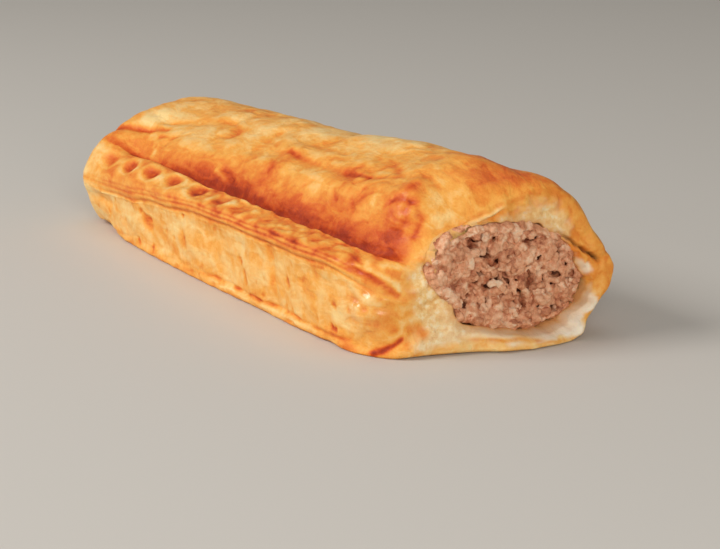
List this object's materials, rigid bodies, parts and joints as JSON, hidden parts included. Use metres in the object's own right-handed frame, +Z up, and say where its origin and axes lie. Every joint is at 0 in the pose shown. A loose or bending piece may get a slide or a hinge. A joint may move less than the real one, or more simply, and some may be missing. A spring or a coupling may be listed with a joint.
{
  "type": "sausage roll",
  "caption": "Baked puff-pastry sausage roll with a dimpled seam along one side and a bite taken from one end that shows the sausage meat.",
  "frame": {"origin": "middle of the roll's box, on the flat base that it rests on", "axes": "+X along the roll towards the bitten end, the seam on the -Y side, +Z up"},
  "size_m": [0.1432, 0.0534, 0.0337],
  "materials": {
    "baked_pastry": "egg-washed puff pastry baked golden, glossy on the brown top and pale and matt where it is torn",
    "cooked_meat": "cooked minced sausage meat, moist and rough where it is bitten"
  },
  "bodies": {
    "root": {"pastry": "baked_pastry", "sausage_meat": "cooked_meat"}
  },
  "joints": []
}
